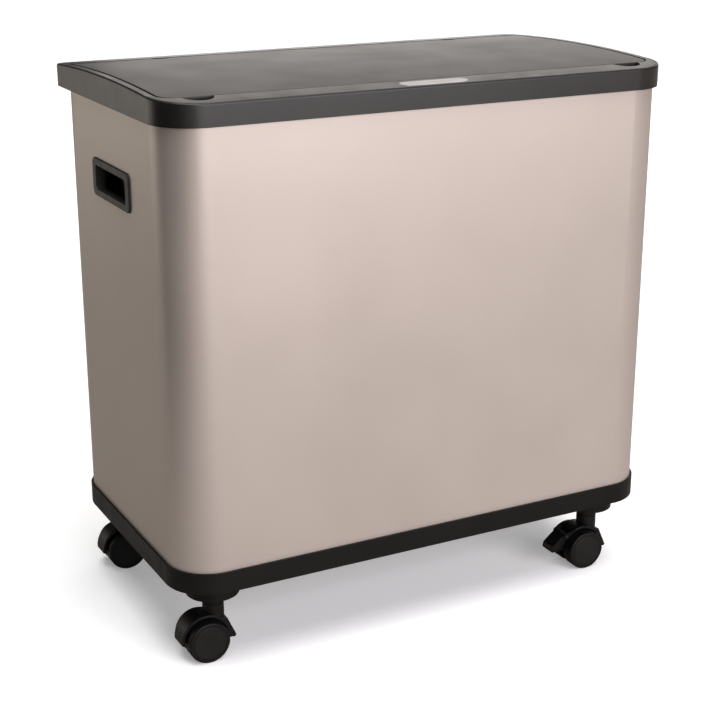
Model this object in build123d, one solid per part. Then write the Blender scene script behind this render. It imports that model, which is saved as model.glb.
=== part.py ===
from build123d import *
import math
import os

# Laundry sorter on wheels: steel body, moulded collar, lid and base, two bags on rims, four casters.
# Millimetres, +Z up. X is the long side and -Y is the front. The origin is on the floor, under the
# middle of the collar, which is the widest piece.

# ---------------------------------------------------------------- overall
body_length = 630.0          # steel body, outside, left to right
body_depth = 350.0           # steel body, outside, front to back
body_visible = 496.0         # steel seen between the base and the collar
body_corner = 50.0           # outside corner radius of the body
shell_wall = 0.8             # sheet steel
flange_width = 14.0          # folded inward at the top and the bottom of the body

# ---------------------------------------------------------------- casters
wheel_diameter = 50.0
wheel_width = 17.8
wheel_gap = 12.4             # between the two wheels of a caster
trail = 14.0                 # axle behind the stem
axle_radius = 3.0
axle_cover = 4.0             # wheel left outside the end of the axle
hood_width = 26.0
hood_wall = 3.0
hood_edge = 1.2              # rounding along the outside of the hood
well_clear = 2.0             # hood to tyre
web_thickness = 11.6         # hood between the wheels
hood_neck_radius = 12.5
hood_neck_rise = 15.7        # neck top above the wheels
stem_radius = 5.5
stem_length = 56.0
neck_radius = 12.0           # socket collar seen between the boss and the hood
neck_height = 13.0
socket_radius = 8.0
boss_radius = 31.0
boss_height = 21.0
boss_pocket = 22.0           # outside radius of the ring-shaped pocket in a boss
stem_inset_side = 53.0       # stem to the side of the body
stem_inset_front = 50.0
stem_inset_back = 25.0
cap_radius = 19.8
cap_proud = 0.4
cap_seat = 2.4               # cap below the outer face of the wheel
cap_edge = 0.8
wheel_edge = 2.0             # rounding of the tyre
tyre_wall = 4.0
wheel_dish = 7.0             # disc of the wheel
hub_radius = 7.5
hood_shoulder = 4.0          # where the neck runs into the front tip, below the top of the wheels
tip_reach = 12.0             # front tip of the hood beyond the wheels
tip_drop = 3.0               # front tip below the axle
tip_width = 2.5
tip_nose = 3.0               # height of the blunt nose of the tip
tip_slant = 1.0              # how far the nose leans back
tip_chin = 1.5               # underside of the tip below its nose
stem_point = 1.2             # chamfer at the top of the stem
pedal_width = 21.0
pedal_reach = 21.0           # pedal tip beyond the wheels
pedal_heel = 8.0             # where the top of the pedal bends, beyond the wheels
pedal_heel_drop = 2.0        # the bend below the pin
pedal_toe_top = 9.0          # top of the tip above the axle
pedal_toe_back = 2.0         # top of the tip behind its foremost point
pedal_toe = 3.0              # foremost point above the axle
pedal_sole = 1.0             # underside of the tip below the axle
pedal_sole_back = 4.0        # front of the sole behind the foremost point
pedal_sole_rise = 9.0        # back of the sole beyond the wheels
pedal_sole_drop = 3.0        # back of the sole below the axle
pedal_skirt = 6.0            # skirt beside the tyre, below the axle
pedal_skirt_front = 3.0      # front of the skirt beyond the wheels
pedal_skirt_width = 5.0
pedal_root = 6.0             # where the pedal starts, behind the front of the wheels
pedal_round = 1.8
pedal_corner = 9.5           # rounding of the tip, seen from the front
pedal_pin_proud = 1.5        # pedal pin outside the fender of the hood
pedal_eye = 3.0
pedal_clear = 3.3            # pedal to tyre at rest
pedal_ear = 3.6              # ears of the hood round the pedal pin
pedal_pin_radius = 1.25

# ---------------------------------------------------------------- base tray
base_overhang = 3.0
base_height = 25.0
base_wall = 2.7
base_floor = 3.0
base_floor_rise = 12.0       # underside of the floor above the bottom of the skirt
rib_wall = 2.0
rib_height = 8.0

# ---------------------------------------------------------------- collar
collar_side = 4.0            # overhang past the body
collar_front = 5.0
collar_back = 10.0
collar_front_corner = 52.0
collar_back_corner = 20.0
collar_height = 24.5         # at the front and back edges
crown_rise = 7.0             # rise of the arched top, front edge to middle
collar_wall = 3.0
collar_edge = 2.0            # rounding of the top outside edge
collar_rise = 16.5           # edge of the collar above the top of the body
front_ledge = 33.0
back_ledge = 32.0
side_ledge = 9.0
well_corner = 20.0           # front corners of the lid well
well_back_corner = 4.0
shelf_wall = 3.0
shelf_side = 12.0            # shelf inside the lid well
shelf_back = 28.5
shelf_corner = 30.0
groove_inset = 2.6
groove_width = 0.8
groove_depth = 0.8
scoop_radius = 17.5          # finger scoop, seen from above
scoop_depth = 13.0
scoop_inset = 46.0           # scoop centre to the side of the body
inlay_length = 84.0
inlay_width = 18.0
inlay_depth = 0.8
inlay_proud = 0.2

# ---------------------------------------------------------------- lid
lid_gap_side = 3.0
lid_gap_front = 1.0
lid_gap_back = 2.5
lid_wall = 3.0
lid_corner = 18.0
lid_edge = 0.8
lid_skirt_wall = 2.5
lid_skirt_inset = 1.5
lid_skirt_level = 8.0        # bottom of the lid skirt above the shelf
liner_wall = 1.5
liner_level = 9.0            # underside of the liner above the shelf
barrel_radius = 6.0
hinge_inset = 115.0          # hinge centre to the side of the body
ear_width = 18.0
ear_radius = 5.5
hinge_pin_radius = 2.0
hinge_pin_length = 50.0
bumper_radius = 3.5
bumper_inset_side = 10.0
bumper_inset_front = 8.5
hinge_slot_front = 2.5       # room in the lid in front of an ear
lid_screw_share = 0.7        # lid screws out from the middle, share of the half length
liner_rib_share = 0.45

# ---------------------------------------------------------------- handles
handle_length = 120.0
handle_height = 44.0
handle_drop = 87.0           # handle centre below the collar
handle_proud = 2.5
handle_corner = 8.0
grip_length = 98.0           # finger opening
grip_height = 28.0
grip_corner = 4.0
grip_wall = 2.5
grip_depth = 9.0             # from the body side to the end of the grip tube
cup_wall = 2.0
cup_depth = 22.0             # from the inside of the body to the back of the cup
cup_rise = 14.0              # finger room above the grip tube

# ---------------------------------------------------------------- bags
rim_radius = 2.5
rim_inset_side = 7.0         # rim wire centre to the lid well
rim_inset_front = 7.0
rim_inset_back = 21.5
rim_corner = 30.0
rim_middle = 8.0             # rim wire centre to the middle of the sorter
hem_wall = 0.5
hem_reach = 3.5              # hem past the rim wire centre
bag_wall = 2.0
bag_bottom_gap = 15.0        # bag above the floor of the base
bag_gap_side = 9.0           # bag to the shelf edge, leaving room for the handle cup
bag_gap_front = 3.5
bag_gap_middle = 2.5         # bag to the divider
bag_corner = 28.0
strap_width = 25.0
strap_thickness = 1.6
strap_span = 135.0
strap_drop = 85.0
strap_corner = 40.0
strap_below_shelf = 6.0
divider_width = 29.0
divider_height = 18.0
divider_wall = 3.0
divider_tab = 11.0
divider_tab_wall = 4.0

# ---------------------------------------------------------------- fits and fasteners
running_gap = 0.05           # radial, shaft in bore
snug_gap = 0.3               # between pieces that are laid or slid together
swing_gap = 0.5              # beside an ear or a knuckle
screw_radius = 1.6
screw_head_radius = 3.4
screw_head = 1.6
small_screw_radius = 1.25
small_head_radius = 2.6
screw_boss = 4.5
base_screw_length = 9.0
collar_screw_length = 9.0
tab_screw_length = 6.6
lid_screw_length = 5.2
handle_screw_margin = 3.2    # screw centre to the end of the handle bezel

# ---------------------------------------------------------------- derived levels and places
wheel_radius = wheel_diameter / 2
hood_top = wheel_diameter + hood_neck_rise
neck_bottom = hood_top + snug_gap
boss_bottom = neck_bottom + neck_height
base_bottom = boss_bottom + boss_height
base_top = base_bottom + base_height
floor_bottom = base_bottom + base_floor_rise
floor_top = floor_bottom + base_floor
collar_bottom = base_top + body_visible
skirt_overlap = collar_height - collar_rise
shell_top = collar_bottom + skirt_overlap
shelf_top = shell_top + shelf_wall
collar_edge_top = collar_bottom + collar_height
crown_top = collar_edge_top + crown_rise

collar_depth = collar_front + body_depth + collar_back
collar_half_x = body_length / 2 + collar_side
collar_half_y = collar_depth / 2
body_half_x = body_length / 2
body_front = collar_front - collar_half_y
body_back = collar_half_y - collar_back
body_mid = (body_front + body_back) / 2
arch_radius = (collar_half_y ** 2 + crown_rise ** 2) / (2 * crown_rise)

well_half_x = collar_half_x - side_ledge
well_front = front_ledge - collar_half_y
well_back = collar_half_y - back_ledge
open_half_x = well_half_x - shelf_side
open_front = well_front + shelf_side
open_back = well_back - shelf_back

lid_half_x = well_half_x - lid_gap_side
lid_front = well_front + lid_gap_front
hinge_y = well_back - lid_gap_back - barrel_radius
hinge_x = body_half_x - hinge_inset
skirt_level = shelf_top + lid_skirt_level
liner_bottom = shelf_top + liner_level

handle_z = collar_bottom - handle_drop
scoop_x = body_half_x - scoop_inset
screw_columns = [-0.6 * body_half_x, -0.2 * body_half_x, 0.2 * body_half_x, 0.6 * body_half_x]
flange_front = body_front + flange_width / 2
flange_back = body_back - flange_width / 2
wire_z = shelf_top + 2 * snug_gap + hem_wall + rim_radius
stems = {
    "front_left": (-1, body_front + stem_inset_front),
    "front_right": (1, body_front + stem_inset_front),
    "back_left": (-1, body_back - stem_inset_back),
    "back_right": (1, body_back - stem_inset_back),
}
braked = ("front_right", "back_right")
far = 1000.0                 # reach of a cut that runs clear of everything

pieces = {}


# ---------------------------------------------------------------- helpers
def arch_z(y, drop=0.0):
    """Height of the arched top at y, or of a surface that lies drop below it."""
    return crown_top - arch_radius + math.sqrt((arch_radius - drop) ** 2 - y ** 2)


def outline(half_x, y_front, y_back, front_corner, back_corner, inset=0.0):
    """Rounded rectangle in the XY plane, its front and back corners with their own radii."""
    length = 2 * (half_x - inset)
    depth = y_back - y_front - 2 * inset
    face = Rectangle(length, depth)
    face = fillet(face.vertices().group_by(Axis.Y)[0], front_corner - inset)
    face = fillet(face.vertices().group_by(Axis.Y)[-1], back_corner - inset)
    return Pos(0, (y_front + y_back) / 2) * face


def prism(face, z_low, z_high):
    """Solid that stands on the XY face from z_low to z_high."""
    return extrude(Pos(0, 0, z_low) * face, amount=z_high - z_low)


def block(x_low, x_high, y_low, y_high, z_low, z_high):
    """Box between two corners."""
    middle = Pos((x_low + x_high) / 2, (y_low + y_high) / 2, (z_low + z_high) / 2)
    return middle * Box(x_high - x_low, y_high - y_low, z_high - z_low)


def arched(half_x, z_low, drop=0.0):
    """Block over the whole depth whose top is the arch, lowered by drop."""
    reach = collar_half_y + 20
    walls = Polyline((-reach, arch_z(reach, drop)), (-reach, z_low), (reach, z_low), (reach, arch_z(reach, drop)))
    top = ThreePointArc((reach, arch_z(reach, drop)), (0, arch_z(0, drop)), (-reach, arch_z(reach, drop)))
    return extrude(Plane.YZ * make_face(walls + top), amount=half_x, both=True)


def rod_x(x_low, x_high, y, z, radius):
    """Round bar along X."""
    return Pos((x_low + x_high) / 2, y, z) * Rot(0, 90, 0) * Cylinder(radius, x_high - x_low)


def rod_y(x, y_low, y_high, z, radius):
    """Round bar along Y."""
    return Pos(x, (y_low + y_high) / 2, z) * Rot(90, 0, 0) * Cylinder(radius, y_high - y_low)


def rod_z(x, y, z_low, z_high, radius):
    """Round bar along Z."""
    return Pos(x, y, (z_low + z_high) / 2) * Cylinder(radius, z_high - z_low)


def screw(length, shank_radius, head_radius):
    """Pan-head screw that points up, the seat of its head at z = 0."""
    body = rod_z(0, 0, -screw_head, 0, head_radius) + rod_z(0, 0, 0, length, shank_radius)
    drive = Box(head_radius, 0.6, 0.8) + Box(0.6, head_radius, 0.8)
    return body - Pos(0, 0, -screw_head) * drive


def group(solids):
    """Separate solids that share one node."""
    return Compound(children=list(solids))


# ---------------------------------------------------------------- steel body
def make_body_shell():
    def loop(inset):
        return outline(body_half_x, body_front, body_back, body_corner, body_corner, inset)

    shell = prism(loop(0), floor_top, shell_top) - prism(loop(shell_wall), floor_top, shell_top)
    flange = loop(shell_wall / 2) - loop(flange_width)
    shell += prism(flange, floor_top, floor_top + shell_wall)
    shell += prism(flange, shell_top - shell_wall, shell_top)
    for x in screw_columns:
        for y in (flange_front, flange_back):
            shell -= rod_z(x, y, floor_top - 1, shell_top + 1, screw_radius + snug_gap)
    window = RectangleRounded(handle_window_length, handle_window_height, grip_corner)
    shell -= extrude(Plane.YZ * Pos(body_mid, handle_z) * window, amount=far, both=True)
    for y in handle_screw_ys:
        shell -= rod_x(-far, far, y, handle_z, small_screw_radius + snug_gap)
    return shell


handle_window_length = grip_length + 2 * grip_wall + 2 * snug_gap
handle_window_height = grip_height + 2 * grip_wall + 2 * snug_gap
handle_screw_ys = [body_mid + side * (handle_length / 2 - handle_screw_margin) for side in (-1, 1)]


# ---------------------------------------------------------------- base tray
def make_base_tray():
    def loop(inset):
        return outline(
            body_half_x + base_overhang, body_front - base_overhang, body_back + base_overhang,
            body_corner + base_overhang, body_corner + base_overhang, inset)

    tray = prism(loop(0), base_bottom, base_top)
    tray -= prism(loop(base_wall), base_bottom, floor_bottom)
    tray -= prism(loop(base_wall), floor_top, base_top)
    rib_low = floor_bottom - rib_height
    inside = prism(loop(base_wall / 2), rib_low, floor_bottom)
    for y in (body_mid - body_depth / 6, body_mid + body_depth / 6):
        tray += block(-far, far, y - rib_wall / 2, y + rib_wall / 2, rib_low, floor_bottom) & inside
    for x in (-body_half_x / 2, 0, body_half_x / 2):
        tray += block(x - rib_wall / 2, x + rib_wall / 2, -far, far, rib_low, floor_bottom) & inside
    for side, y in stems.values():
        x = side * (body_half_x - stem_inset_side)
        boss = rod_z(x, y, boss_bottom, floor_bottom + 1, boss_radius)
        tray += boss & prism(loop(0), boss_bottom, floor_top)
    for side, y in stems.values():
        x = side * (body_half_x - stem_inset_side)
        pocket = rod_z(x, y, boss_bottom + base_floor, floor_top + 1, boss_pocket)
        tray -= pocket - rod_z(x, y, boss_bottom, floor_top + 2, neck_radius)
        tray -= rod_z(x, y, boss_bottom - 1, floor_top + 1, socket_radius + running_gap)
    for x in screw_columns:
        for y in (flange_front, flange_back):
            tray -= rod_z(x, y, floor_bottom - 1, floor_top + 1, screw_radius + running_gap)
    return tray


# ---------------------------------------------------------------- collar
def collar_loop(inset):
    return outline(
        collar_half_x, -collar_half_y, collar_half_y, collar_front_corner, collar_back_corner, inset)


def well_loop(inset):
    back = max(well_back_corner - inset, 0.5) + inset
    return outline(well_half_x, well_front, well_back, well_corner, back, inset)


def hinge_ears():
    """Two ears on the back shelf that hold the hinge pins."""
    ears = []
    for side in (-1, 1):
        x = side * hinge_x
        ear = block(
            x - ear_width / 2, x + ear_width / 2, hinge_y - ear_radius, hinge_y + ear_radius,
            shelf_top - shelf_wall / 2, hinge_z)
        ear += rod_x(x - ear_width / 2, x + ear_width / 2, hinge_y, hinge_z, ear_radius)
        ears.append(ear)
    return ears


hinge_z = arch_z(hinge_y) - barrel_radius


def make_top_collar():
    envelope = arched(far, collar_bottom - 5)
    collar = prism(collar_loop(0), collar_bottom, crown_top + 1) & envelope
    rim = collar.edges().filter_by(lambda edge: edge.center().Z > collar_edge_top - 1)
    collar = fillet(rim, collar_edge)
    collar -= prism(collar_loop(collar_wall), collar_bottom, shell_top)
    collar -= prism(well_loop(0), shelf_top, crown_top + 1)
    opening = outline(open_half_x, open_front, open_back, shelf_corner, shelf_corner)
    collar -= prism(opening, collar_bottom, crown_top + 1)
    channel = collar_loop(collar_wall) - well_loop(-collar_wall)
    collar -= prism(channel, shell_top - 1, crown_top) & arched(far, shell_top - 2, collar_wall)
    inner = prism(collar_loop(collar_wall / 2), shell_top, crown_top) & arched(far, shell_top - 2, 1.0)
    for x in screw_columns:
        for y in (flange_front, flange_back):
            boss = rod_z(x, y, shell_top, crown_top, screw_boss) & inner
            collar += boss
            depth = collar_screw_length - shell_wall + 1
            collar -= rod_z(x, y, shell_top - 1, shell_top + depth, screw_radius + running_gap)
    solid_reach = scoop_radius + collar_wall
    for side in (-1, 1):
        x = side * scoop_x
        seat = block(
            x - solid_reach, x + solid_reach, well_front - solid_reach, well_front, shell_top, crown_top)
        collar += seat & inner
        ball_radius = (scoop_radius ** 2 + scoop_depth ** 2) / (2 * scoop_depth)
        ball_z = arch_z(well_front) - scoop_depth + ball_radius
        collar -= Pos(x, well_front, ball_z) * Sphere(ball_radius)
    groove = prism(collar_loop(groove_inset) - collar_loop(groove_inset + groove_width), shelf_top, crown_top + 1)
    groove &= block(-far, far, -far, -collar_half_y + collar_front_corner, 0, far)
    collar -= groove - arched(far, 0, groove_depth)
    recess = prism(Pos(0, inlay_y) * SlotOverall(inlay_length, inlay_width), shelf_top, crown_top + 1)
    collar -= recess - arched(far, 0, inlay_depth)
    for ear in hinge_ears():
        collar += ear
    for side in (-1, 1):
        x = side * hinge_x
        collar -= rod_x(x - ear_width, x + ear_width, hinge_y, hinge_z, hinge_pin_radius + running_gap / 2)
    for x, y in tab_screw_places():
        collar -= rod_z(x, y, shell_top - 1, shelf_top + 1, small_screw_radius + running_gap)
    return collar


inlay_y = well_front - front_ledge / 2


def make_front_inlay():
    strip = prism(
        Pos(0, inlay_y) * SlotOverall(inlay_length - 2 * running_gap, inlay_width - 2 * running_gap),
        shelf_top, crown_top + 1)
    return (strip & arched(far, 0, -inlay_proud)) - arched(far, 0, inlay_depth)


# ---------------------------------------------------------------- lid
def lid_loop(inset):
    return outline(lid_half_x, lid_front, hinge_y, lid_corner, lid_corner / 3, inset)


lid_screw_places = [
    (x, y)
    for x in (-lid_screw_share * lid_half_x, 0.0, lid_screw_share * lid_half_x)
    for y in (lid_front + 0.25 * (hinge_y - lid_front), lid_front + 0.75 * (hinge_y - lid_front))]


def make_lid_panel():
    plate = outline(lid_half_x, lid_front, hinge_y + 1, lid_corner, lid_edge + 0.2)
    panel = prism(plate, skirt_level - 5, crown_top + 1) & arched(far, 0)
    rim = panel.edges().filter_by(lambda edge: edge.center().Z > arch_z(lid_front) - 1)
    rim = rim.filter_by(lambda edge: edge.center().Y < hinge_y - 1)
    panel = fillet(rim, lid_edge)
    hollow = prism(lid_loop(lid_skirt_inset + lid_skirt_wall), 0, crown_top)
    hollow += prism(lid_loop(-20), 0, crown_top) - prism(lid_loop(lid_skirt_inset), 0, crown_top)
    hollow += block(-far, far, hinge_y - 2 * barrel_radius, far, 0, far)
    panel -= hollow & arched(far, 0, lid_wall)
    panel -= block(-far, far, -far, far, 0, skirt_level)
    barrel_half = lid_half_x - 1
    panel += rod_x(-barrel_half, barrel_half, hinge_y, hinge_z, barrel_radius)
    for side in (-1, 1):
        x = side * hinge_x
        slot = ear_width / 2 + swing_gap
        panel -= block(x - slot, x + slot, hinge_y - ear_radius - hinge_slot_front, far, 0, far)
        outer = side * far
        inner = x - side * (hinge_pin_length / 2 + swing_gap)
        low, high = min(inner, outer), max(inner, outer)
        panel -= rod_x(low, high, hinge_y, hinge_z, hinge_pin_radius + running_gap)
        x = side * scoop_x
        panel -= block(x - scoop_radius, x + scoop_radius, -far, lid_front + scoop_radius, 0, far) \
            & arched(far, 0, lid_wall)
    for x, y in lid_screw_places:
        boss = rod_z(x, y, liner_bottom + liner_wall + snug_gap, crown_top, screw_boss - 1)
        panel += boss & arched(far, 0, 1.0)
        panel -= rod_z(x, y, liner_bottom, liner_bottom + lid_screw_length + 0.5, small_screw_radius + running_gap)
    return panel


def make_lid_liner():
    inset = lid_skirt_inset + lid_skirt_wall + snug_gap
    room = lid_loop(inset) & Pos(0, hinge_y - 2.5 * barrel_radius - far / 2) * Rectangle(2 * far, far)
    for side in (-1, 1):
        room -= Pos(side * scoop_x, lid_front) * Rectangle(
            2 * scoop_radius + 4 * snug_gap, 2 * scoop_radius + 2 * snug_gap)
    liner = prism(room, liner_bottom, liner_bottom + liner_wall)
    inside = prism(room, liner_bottom, crown_top) & arched(far, 0, lid_wall + snug_gap)
    for x in (-liner_rib_share * lid_half_x, liner_rib_share * lid_half_x):
        liner += block(x - rib_wall / 2, x + rib_wall / 2, -far, far, liner_bottom, crown_top) & inside
    middle = (lid_front + hinge_y) / 2
    liner += block(-far, far, middle - rib_wall / 2, middle + rib_wall / 2, liner_bottom, crown_top) & inside
    for x, y in lid_screw_places:
        liner -= rod_z(x, y, liner_bottom - 1, liner_bottom + liner_wall + 1, small_screw_radius + running_gap)
    return liner


def make_hinge_pins():
    half = hinge_pin_length / 2
    return group(
        rod_x(side * hinge_x - half, side * hinge_x + half, hinge_y, hinge_z, hinge_pin_radius)
        for side in (-1, 1))


def make_lid_bumpers():
    places = [(side * (well_half_x - bumper_inset_side), well_front + bumper_inset_front) for side in (-1, 1)]
    return group(rod_z(x, y, shelf_top, skirt_level - snug_gap, bumper_radius) for x, y in places)


# ---------------------------------------------------------------- handles
def on_side(side, face, x_low, x_high):
    """Extrude a YZ face, drawn about the handle's centre, between two distances from the middle."""
    plane = Plane.YZ.offset(x_low) * Pos(body_mid, handle_z) * face
    solid = extrude(plane, amount=x_high - x_low)
    return solid if side > 0 else mirror(solid, Plane.YZ)


def make_handle_bezel(side):
    face = RectangleRounded(handle_length, handle_height, handle_corner)
    tube = RectangleRounded(grip_length + 2 * grip_wall, grip_height + 2 * grip_wall, grip_corner)
    hole = RectangleRounded(grip_length, grip_height, grip_corner)
    bezel = on_side(1, face, body_half_x, body_half_x + handle_proud)
    bezel = fillet(bezel.faces().sort_by(Axis.X)[-1].edges(), handle_proud * 0.6)
    bezel += on_side(1, tube, body_half_x - grip_depth, body_half_x + handle_proud / 2)
    bezel -= on_side(1, hole, body_half_x - 2 * grip_depth, body_half_x + 2 * handle_proud)
    for y in handle_screw_ys:
        hole_end = body_half_x + handle_proud * 0.7
        bezel -= rod_x(body_half_x - 1, hole_end, y, handle_z, small_screw_radius + running_gap)
    return bezel if side > 0 else mirror(bezel, Plane.YZ)


def make_handle_cup(side):
    inside_face = body_half_x - shell_wall
    room_length = handle_window_length
    room_height = handle_window_height + cup_rise
    centre = Pos(0, cup_rise / 2)
    outer = centre * RectangleRounded(room_length + 2 * cup_wall, room_height + 2 * cup_wall, grip_corner + cup_wall)
    inner = centre * RectangleRounded(room_length, room_height, grip_corner)
    ears = RectangleRounded(handle_length, 4 * small_head_radius, handle_corner / 2)
    cup = on_side(1, outer, inside_face - cup_depth, inside_face)
    cup += on_side(1, ears, inside_face - cup_wall, inside_face)
    cup -= on_side(1, inner, inside_face - cup_depth + cup_wall, inside_face + 1)
    for y in handle_screw_ys:
        cup -= rod_x(inside_face - 2 * cup_wall, inside_face + 1, y, handle_z, small_screw_radius + running_gap)
    return cup if side > 0 else mirror(cup, Plane.YZ)


def make_handle_screws():
    length = cup_wall + shell_wall + handle_proud * 0.6
    solids = []
    for side in (-1, 1):
        for y in handle_screw_ys:
            seat = side * (body_half_x - shell_wall - cup_wall)
            turn = Rot(0, 90 * side, 0)
            solids.append(Pos(seat, y, handle_z) * turn * screw(length, small_screw_radius, small_head_radius))
    return group(solids)


# ---------------------------------------------------------------- bags and their rims
rim_side = well_half_x - rim_inset_side
rim_front = well_front + rim_inset_front
rim_back = well_back - rim_inset_back
bag_side = open_half_x - bag_gap_side
bag_front = open_front + bag_gap_front
bag_back = open_back - bag_gap_front
bag_inner = divider_width / 2 + bag_gap_middle
bag_bottom = floor_top + bag_bottom_gap


def half_rectangle(x_near, x_away, y_front, y_back, corner):
    """Rounded rectangle on the +X half of the sorter."""
    middle = Pos((x_near + x_away) / 2, (y_front + y_back) / 2)
    return middle * RectangleRounded(x_away - x_near, y_back - y_front, corner)


def on_half(side, solid):
    return solid if side > 0 else mirror(solid, Plane.YZ)


def make_bag_rim(side):
    path = Pos(0, 0, wire_z) * half_rectangle(rim_middle, rim_side, rim_front, rim_back, rim_corner)
    loop = path.wire()
    start = loop @ 0
    ring = sweep(Plane(origin=start, z_dir=loop % 0) * Circle(rim_radius), path=loop)
    return on_half(side, ring)


def make_laundry_bag(side):
    hem_top = shelf_top + snug_gap + hem_wall
    outer = half_rectangle(bag_inner, bag_side, bag_front, bag_back, bag_corner)
    inner = half_rectangle(
        bag_inner + bag_wall, bag_side - bag_wall, bag_front + bag_wall, bag_back - bag_wall,
        bag_corner - bag_wall)
    hem = half_rectangle(
        rim_middle - hem_reach, rim_side + hem_reach, rim_front - hem_reach, rim_back + hem_reach,
        rim_corner + hem_reach)
    bag = prism(outer, bag_bottom, hem_top)
    bag += prism(hem, hem_top - hem_wall, hem_top)
    bag -= prism(inner, bag_bottom + bag_wall, hem_top + 1)
    return on_half(side, bag)


def make_bag_handles(side):
    centre_x = (bag_inner + bag_side) / 2
    top = shelf_top - strap_below_shelf
    outer = Pos(centre_x, top - strap_drop / 2) * RectangleRounded(strap_span, strap_drop + strap_width, strap_corner)
    inner = Pos(centre_x, top - strap_drop / 2) * RectangleRounded(
        strap_span - 2 * strap_width, strap_drop - strap_width, strap_corner - strap_width)
    loop = outer - inner
    loop -= Pos(centre_x, top + strap_drop / 2) * Rectangle(2 * strap_span, strap_drop)
    front_y = bag_front + bag_wall + snug_gap
    back_y = bag_back - bag_wall - snug_gap - strap_thickness
    straps = [extrude(Plane.XZ.offset(-y) * loop, amount=-strap_thickness) for y in (front_y, back_y)]
    return group(on_half(side, strap) for strap in straps)


def tab_screw_places():
    return [
        (side * divider_width / 4, y)
        for side in (-1, 1) for y in (open_front - divider_tab / 2, open_back + divider_tab / 2)]


def make_divider_bar():
    half = divider_width / 2
    low = shelf_top - divider_height
    bar = block(-half, half, open_front + snug_gap, open_back - snug_gap, low, shelf_top)
    bar -= block(
        -half + divider_wall, half - divider_wall, open_front + divider_wall + snug_gap,
        open_back - divider_wall - snug_gap, low - 1, shelf_top - divider_wall)
    tab_top = shell_top
    tab_low = tab_top - divider_tab_wall
    bar += block(-half, half, open_front - divider_tab, open_front + divider_wall, tab_low, tab_top)
    bar += block(-half, half, open_back - divider_wall, open_back + divider_tab, tab_low, tab_top)
    for x, y in tab_screw_places():
        bar -= rod_z(x, y, tab_low - 1, tab_top + 1, small_screw_radius + running_gap)
    return bar


# ---------------------------------------------------------------- screws
def make_base_screws():
    one = screw(base_screw_length, screw_radius, screw_head_radius)
    return group(Pos(x, y, floor_bottom) * one for x in screw_columns for y in (flange_front, flange_back))


def make_collar_screws():
    one = screw(collar_screw_length, screw_radius, screw_head_radius)
    seat = shell_top - shell_wall
    return group(Pos(x, y, seat) * one for x in screw_columns for y in (flange_front, flange_back))


def make_divider_screws():
    one = screw(tab_screw_length, small_screw_radius, small_head_radius)
    seat = shell_top - divider_tab_wall
    return group(Pos(x, y, seat) * one for x, y in tab_screw_places())


def make_lid_screws():
    one = screw(lid_screw_length, small_screw_radius, small_head_radius)
    return group(Pos(x, y, liner_bottom) * one for x, y in lid_screw_places)


# ---------------------------------------------------------------- casters
# Every caster piece is drawn about its stem, with the wheels trailing towards -X.
wheel_x = -trail
wheel_z = wheel_radius
well_radius = wheel_radius + well_clear
fender_radius = well_radius + hood_wall
wheel_near = wheel_gap / 2
wheel_far = wheel_near + wheel_width
pin_angle = math.radians(140)
pin_reach = fender_radius + pedal_pin_proud
pin_x = wheel_x + pin_reach * math.cos(pin_angle)
pin_z = wheel_z + pin_reach * math.sin(pin_angle)
gate_angle = math.radians(122)   # where the fender of a braked hood ends
gate_radius = wheel_radius - 1.0  # the web of a braked hood is cut back to this
socket_top = floor_top + 2
stem_top = hood_top - hood_neck_rise + stem_length + 1.0
stem_foot = wheel_diameter + 1.0


def xz_slab(face, y_low, y_high):
    """Extrude a face drawn in X and Z along Y."""
    return extrude(Plane.XZ.offset(-y_low) * face, amount=-(y_high - y_low))


def disc(radius):
    return Pos(wheel_x, wheel_z) * Circle(radius)


def hood_outer(x, z):
    """True for a point on the outside contour of the hood, away from the wheel wells."""
    return math.hypot(x - wheel_x, z - wheel_z) > well_radius + 1.5 and z > wheel_z


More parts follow.
